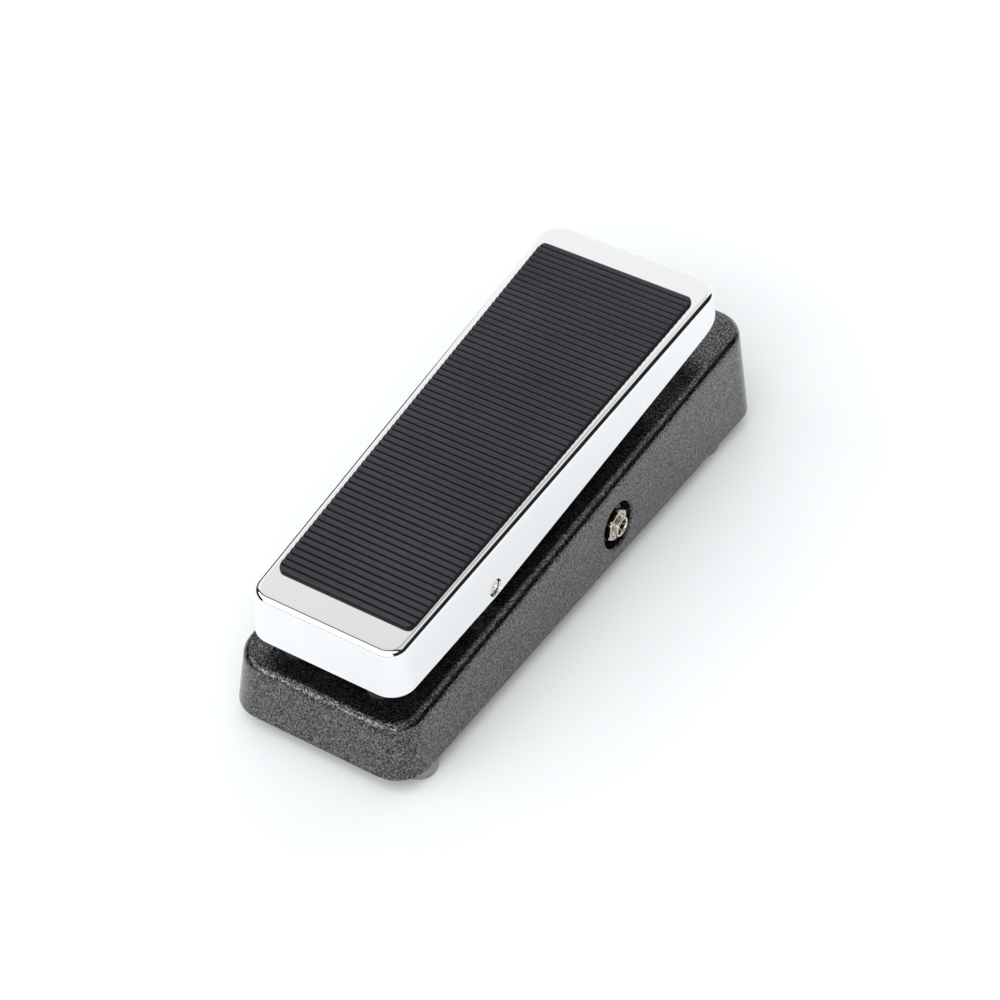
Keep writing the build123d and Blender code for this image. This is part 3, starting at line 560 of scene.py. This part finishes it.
# ---------------------------------------------------------------- ribbed mat
def mat_sides(v):
    """Left and right edge of the mat, which is glued on a little askew, with rounded corners."""
    half = MAT_HALF_HEEL + MAT_WIDEN * v
    for end in (v - MAT_START, MAT_END - v):
        if end < MAT_CORNER:
            half -= MAT_CORNER - math.sqrt(max(0.0, MAT_CORNER**2 - (MAT_CORNER - end) ** 2))
    askew = 1.0 - v / MAT_END
    return MAT_SKEW_LEFT * askew - half, MAT_SKEW_RIGHT * askew + half


def rounded_rise(distance, reach):
    """Quarter round from 0 at an edge to 1 at reach inside it."""
    t = min(1.0, max(0.0, distance / reach))
    return math.sqrt(1 - (1 - t) ** 2)


def build_mat():
    """The mat as one grid: a row of points across it at every station along it."""
    pitch = (MAT_END - MAT_START) / RIB_COUNT
    stations = [(MAT_START + e, 0.0) for e in (0.0, 0.04, 0.1, 0.2)]
    for rib in range(RIB_COUNT):
        start = MAT_START + (rib + RIB_GAP / 2) * pitch
        for step in range(RIB_STEPS + 1):
            u = 0.5 - 0.5 * math.cos(math.pi * step / RIB_STEPS)
            crown = math.sin(math.pi * u) ** 0.85
            stations.append((start + u * pitch * (1 - RIB_GAP), crown))
    stations += [(MAT_END - e, 0.0) for e in (0.2, 0.1, 0.04, 0.0)]
    insets = (0.0, 0.03, 0.08, 0.16, 0.28, 0.45, 0.7, 1.0, 1.4, 2.0)
    verts, faces = [], []
    for v, crown in stations:
        left, right = mat_sides(v)
        xs = [left + e for e in insets] + [left / 3, right / 3]
        xs += [right - e for e in reversed(insets)]
        edge_v = min(v - MAT_START, MAT_END - v)
        row = []
        for x in xs:
            edge_x = min(x - left, right - x)
            sheet = MAT_SHEET * rounded_rise(min(edge_x, edge_v), 0.25)
            rib_end = rounded_rise(edge_x - 0.15, 0.9)
            row.append((x, v, sheet + RIB_HEIGHT * crown * rib_end))
        row.insert(0, (left, v, -MAT_SINK))
        row.append((right, v, -MAT_SINK))
        verts.extend(deck_point(*point) for point in row)
    wide = len(row)
    for r in range(len(stations) - 1):
        for c in range(wide - 1):
            a = r * wide + c
            faces.append((a, a + 1, a + wide + 1, a + wide))
    make("ribbed_mat", verts, faces, "treadle", MAT_RUBBER, ("treadle_mat",))


# ---------------------------------------------------------------- turned and cut hardware
def build_jack(side, jack):
    """Threaded socket, hex nut and washer of one jack, and a near-black sleeve inside its bore that
    is painted shade.
    """
    place = on_x(side, JACK_Y, JACK_Z)
    lip = [
        (4.20, JACK_TIP - 0.75),
        (4.22, JACK_TIP - 0.45),
        (4.12, JACK_TIP - 0.18),
        (3.92, JACK_TIP - 0.03),
        (3.70, JACK_TIP),
        (3.48, JACK_TIP - 0.06),
        (3.32, JACK_TIP - 0.22),
        (JACK_BORE, JACK_TIP - 0.50),
    ]
    section = rows(JACK_INNER, JACK_TIP - 0.85, 0.1, JACK_CREST) + lip
    section += [(JACK_BORE, 41.0), (JACK_BORE, JACK_INNER)]
    ridges = thread(low=37.8, high=JACK_TIP - 0.8, pitch=0.79, depth=THREAD_DEPTH)
    socket = ring_mesh(section, place, shape=ridges)
    turned(jack + "_socket", [socket], jack + "_bushing", SOCKET_NICKEL)

    nut = nut_profile(JACK_NUT_X, JACK_NUT_END_X, bore=4.66, reach=7.33, cut=0.55)
    flats = hexagon(JACK_FLATS, 0.12)
    turn = math.radians(JACK_NUT_TURN if side > 0 else -JACK_NUT_TURN)
    nut_mesh = ring_mesh(nut, place, NUT_SIDES, shape=flats, turn=turn)
    turned(jack + "_hex", [nut_mesh], jack + "_nut", NICKEL_PAINTED_REFLECTION)

    ring = washer_profile(JACK_WASHER_X, JACK_NUT_X, bore=4.75, reach=8.0, soft=0.18)
    turned(jack + "_ring", [ring_mesh(ring, place)], jack + "_washer", NICKEL)

    # Painted shade: a near-black sleeve just inside the bore stands for the shade in it.
    skin = JACK_BORE - 0.015
    painted_shade_lining = [(skin, 36.5), (skin, JACK_TIP - 0.9), (JACK_BORE, JACK_TIP - 0.85), (JACK_BORE, 36.5)]
    verts, faces = ring_mesh(painted_shade_lining, place, 72)
    make(jack + "_lining", verts, faces, "base", PAINTED_SHADE_BLACK)


def build_switch():
    """Threaded neck of the toe footswitch with its two nuts and washer, and the button in it."""
    place = on_z(0, SWITCH_Y)
    section = rows(SWITCH_LOW, 54.0, 0.12, SWITCH_CREST)
    section += [(5.5, SWITCH_TOP - 0.08), (5.2, SWITCH_TOP), (SWITCH_HOLE + 0.3, SWITCH_TOP)]
    section += [(SWITCH_HOLE, SWITCH_TOP - 0.3), (SWITCH_HOLE, SWITCH_LOW)]
    ridges = thread(low=41.2, high=53.9, pitch=1.0, depth=THREAD_DEPTH)
    neck = ring_mesh(section, place, shape=ridges)
    turned("switch_thread", [neck], "footswitch_bushing", NICKEL)

    nuts = []
    for low, high in ((41.0, 43.5), (51.0, 53.5)):
        nut = nut_profile(low, high, bore=6.0, reach=8.95)
        nuts.append(ring_mesh(nut, place, NUT_SIDES, shape=hexagon(SWITCH_FLATS)))
    turned("switch_hex", nuts, "footswitch_nuts", NICKEL)

    ring = washer_profile(50.0, 51.0, bore=6.05, reach=9.6, soft=0.2)
    turned("switch_ring", [ring_mesh(ring, place)], "footswitch_washer", NICKEL)

    cap = [(0.0, SWITCH_LOW), (BUTTON_RADIUS, SWITCH_LOW)]
    cap += [(BUTTON_RADIUS, 55.4), (3.72, 55.6), (3.72, 55.9), (BUTTON_RADIUS, 56.1)]
    cap.append((BUTTON_RADIUS, 58.6))
    cap += rounded_corner(2.7, 58.6, 1.3, 1.3)
    cap += [(1.6, BUTTON_TOP - 0.03), (0.0, BUTTON_TOP)]
    button = ring_mesh(cap, place, 64, closed=False)
    turned("switch_button", [button], "footswitch_plunger", NICKEL)


def build_axle():
    """Both ends of the cross axle, centre-drilled, with a near-black ring of painted shade round
    each.
    """
    half = [(AXLE_RADIUS, 0.0), (AXLE_RADIUS, 33.9), (3.10, 34.16), (2.85, 34.38), (2.5, 34.46)]
    half += [(1.0, AXLE_REACH), (0.55, AXLE_REACH - 0.02)]
    half += [(0.35, AXLE_REACH - 0.25), (0.0, AXLE_REACH - 0.4)]
    places = [on_x(side, PIVOT_Y, PIVOT_Z) for side in (-1, 1)]
    ends = [ring_mesh(half, place, closed=False) for place in places]
    turned("cross_axle", ends, "pivot_axle", AXLE_STEEL)
    # Painted shade: a near-black ring round the axle just short of each tip.
    gap_shade_ring = [(3.20, 33.3), (3.20, 34.25), (3.32, 34.30), (3.53, 34.30), (3.53, 33.3)]
    verts, faces = joined([ring_mesh(gap_shade_ring, place, 72) for place in places])
    make("axle_gap_painted_shade", verts, faces, "treadle", PAINTED_SHADE_BLACK)


def build_feet():
    """Four rubber feet, each with a recess for its screw's head."""
    for name in ("foot_heel_left", "foot_heel_right", "foot_toe_left", "foot_toe_right"):
        low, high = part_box(name)
        x = (low[0] + high[0]) / 2 / MM
        y = (low[1] + high[1]) / 2 / MM
        section = [(4.6, 3.5), (4.6, 0.5), (4.9, 0.12), (5.3, 0.0), (6.3, 0.0)]
        for step in range(1, 7):
            angle = math.pi / 2 * step / 6
            section.append((6.3 + 1.1 * math.sin(angle), 1.1 - 1.1 * math.cos(angle)))
        section += [(7.52, 5.9), (7.58, 6.3), (7.6, 7.3), (7.45, FOOT_HEIGHT)]
        section += [(2.2, FOOT_HEIGHT), (2.2, 3.5)]
        turned("rubber_" + name, [ring_mesh(section, on_z(x, y), 72)], name, FOOT_RUBBER)


def build_bumpers():
    """Two rubber buttons under the treadle's heel, each on a stem through the housing."""
    section = [(0.0, 27.2), (2.0, 27.2), (2.2, 27.4), (2.2, 32.2), (5.3, 32.2)]
    section += [(BUMPER_RADIUS, 32.4), (BUMPER_RADIUS, 35.9)]
    section += rounded_corner(3.5, 35.9, 2.0, 1.85)
    section += [(2.2, 37.85), (1.2, 37.9), (0.9, 37.6), (0.0, 37.5)]
    places = [on_z(x, BUMPER_Y) for x in (-BUMPER_X, BUMPER_X)]
    parts = [ring_mesh(section, place, 64, closed=False) for place in places]
    turned("rubber_bumpers", parts, "heel_bumpers", BLACK_RUBBER)


# Width in mm of the rounding along each small node's edges.
SOFT_EDGE = {
    "bottom_plate": 0.35,
    "foot_screws": 0.25,
    "pivot_bush_left": 0.25,
    "pivot_bush_right": 0.25,
    "brake_block": 0.6,
    "brake_clamp_screw": 0.2,
    "brake_clamp_nut": 0.25,
    "footswitch_case": 0.5,
    "footswitch_lugs": 0.12,
    "pot_bracket": 0.3,
    "bracket_screws": 0.3,
    "pot_wafer": 0.2,
    "pot_can": 0.3,
    "pot_washer": 0.12,
    "pot_nut": 0.35,
    "pot_shaft": 0.3,
    "pot_bushing": 0.25,
    "pinion_gear": 0.12,
    "rack_bar": 0.15,
    "input_jack_frame": 0.3,
    "input_jack_insulator": 0.2,
    "input_jack_contacts": 0.1,
    "output_jack_frame": 0.3,
    "output_jack_insulator": 0.2,
    "output_jack_contacts": 0.1,
    "circuit_board": 0.15,
    "board_screws": 0.2,
    "transistors": 0.2,
    "battery_case": 0.5,
    "battery_snap": 0.3,
    "battery_strap": 0.2,
    "axle_clips": 0.2,
    "rack_pin": 0.3,
    "rack_pin_clip": 0.15,
    "toe_pad": 0.2,
}

build_mat()
build_jack(1, "input_jack")
build_jack(-1, "output_jack")
build_switch()
build_axle()
build_feet()
build_bumpers()
for node_name, edge_width in SOFT_EDGE.items():
    softened(node_name, edge_width)


# ---------------------------------------------------------------- floor, light, camera
def stage_floor():
    """A plain pale floor far wider than the object."""
    mesh = bpy.data.meshes.new("floor")
    reach = 4.0
    mesh.from_pydata(
        [(-reach, -reach, 0), (reach, -reach, 0), (reach, reach, 0), (-reach, reach, 0)],
        [],
        [(0, 1, 2, 3)],
    )
    floor = bpy.data.objects.new("floor", mesh)
    scene.collection.objects.link(floor)
    m = Mat("pale_floor").set(Roughness=0.8, Specular_IOR_Level=0.1)
    shade, light = (0.835, 0.858, 0.87), (0.85, 0.872, 0.882)
    m.colour(m.ramp(m.noise(3, 2, 0.5), (0.3, shade), (0.7, light)))
    mesh.materials.append(m.mat)


def stage_world():
    """A white front wall and a pale ceiling with a dark gap between them, and dark sides.

    The gap and the dark flags at both sides are what gives chrome its thin black edges. Only the
    lighting has them: a camera that looks past the floor sees plain pale grey.
    """
    world = bpy.data.worlds.new("studio")
    scene.world = world
    world.use_nodes = True
    g = Graph(world.node_tree)
    background = g.tree.nodes["Background"]
    split = g.tree.nodes.new("ShaderNodeSeparateXYZ")
    g.link(g.coord.outputs["Generated"], split.inputs[0])
    x, y, z = split.outputs

    def less(value, *dark):
        """Value with the product of the dark ramps taken out of it."""
        zone = dark[0]
        for other in dark[1:]:
            zone = g.math("MULTIPLY", zone, other)
        return g.math("MULTIPLY", value, g.math("SUBTRACT", 1.0, zone))

    front = g.step(y, -0.07, -0.13)
    skirting = (0.0, 0.08), (0.045, 0.10)
    panel = (0.06, 1.15), (0.40, 1.15)
    lamp_band = (0.46, 3.6), (0.60, 3.6)
    wall = g.ramp(z, *skirting, *panel, *lamp_band, (0.66, 1.15))
    wall = less(wall, g.step(x, 0.42, 0.50), g.step(z, 0.74, 0.66), g.step(y, -0.66, -0.58))
    wall = less(wall, g.step(x, -0.54, -0.62), g.step(z, 0.54, 0.46))
    back = g.step(y, 0.05, 0.16)
    ceiling = g.ramp(z, (0.60, 1.0), (0.72, 0.95), (0.80, 0.80), (0.90, 0.72))
    ceiling = less(ceiling, g.step(x, 0.36, 0.44), g.step(z, 0.74, 0.68))
    ceiling = less(ceiling, g.step(x, -0.02, 0.0), g.step(x, 0.10, 0.08), g.step(y, 0.57, 0.53))
    ceiling = less(ceiling, g.step(x, -0.56, -0.66), g.step(z, 0.44, 0.34), g.step(y, 0.60, 0.54))
    lit = g.math("ADD", g.math("MULTIPLY", front, wall), g.math("MULTIPLY", back, ceiling))
    lit = g.math("ADD", lit, 0.02)
    path = g.tree.nodes.new("ShaderNodeLightPath")
    shown = g.mix(path.outputs["Is Camera Ray"], lit, (0.93, 0.93, 0.93))
    g.link(shown, background.inputs[0])
    background.inputs[1].default_value = 1.0


def stage_fill():
    """Broad overhead light for the floor and the mat, which the chrome doesn't mirror."""
    data = bpy.data.lights.new("overhead", "SUN")
    data.energy = 1.25
    data.angle = math.radians(75)
    lamp = bpy.data.objects.new("overhead", data)
    scene.collection.objects.link(lamp)
    lamp.rotation_mode = "QUATERNION"
    lamp.rotation_quaternion = Vector((-0.15, 0.35, -1.0)).to_track_quat("-Z", "Y")
    lamp.visible_glossy = False


def stage_camera():
    azimuth, elevation = math.radians(31.431), math.radians(44.166)
    distance = 0.95533
    target = Vector((0.00373, -0.00406, 0.0325))
    back = Vector(
        (
            math.sin(azimuth) * math.cos(elevation),
            -math.cos(azimuth) * math.cos(elevation),
            math.sin(elevation),
        )
    )
    data = bpy.data.cameras.new("camera")
    data.sensor_width = 36
    data.lens = 89.57
    camera = bpy.data.objects.new("camera", data)
    scene.collection.objects.link(camera)
    camera.location = target + back * distance
    camera.rotation_mode = "QUATERNION"
    camera.rotation_quaternion = (-back).to_track_quat("-Z", "Y")
    scene.camera = camera


stage_floor()
stage_world()
stage_fill()
stage_camera()
scene.view_settings.view_transform = "Standard"
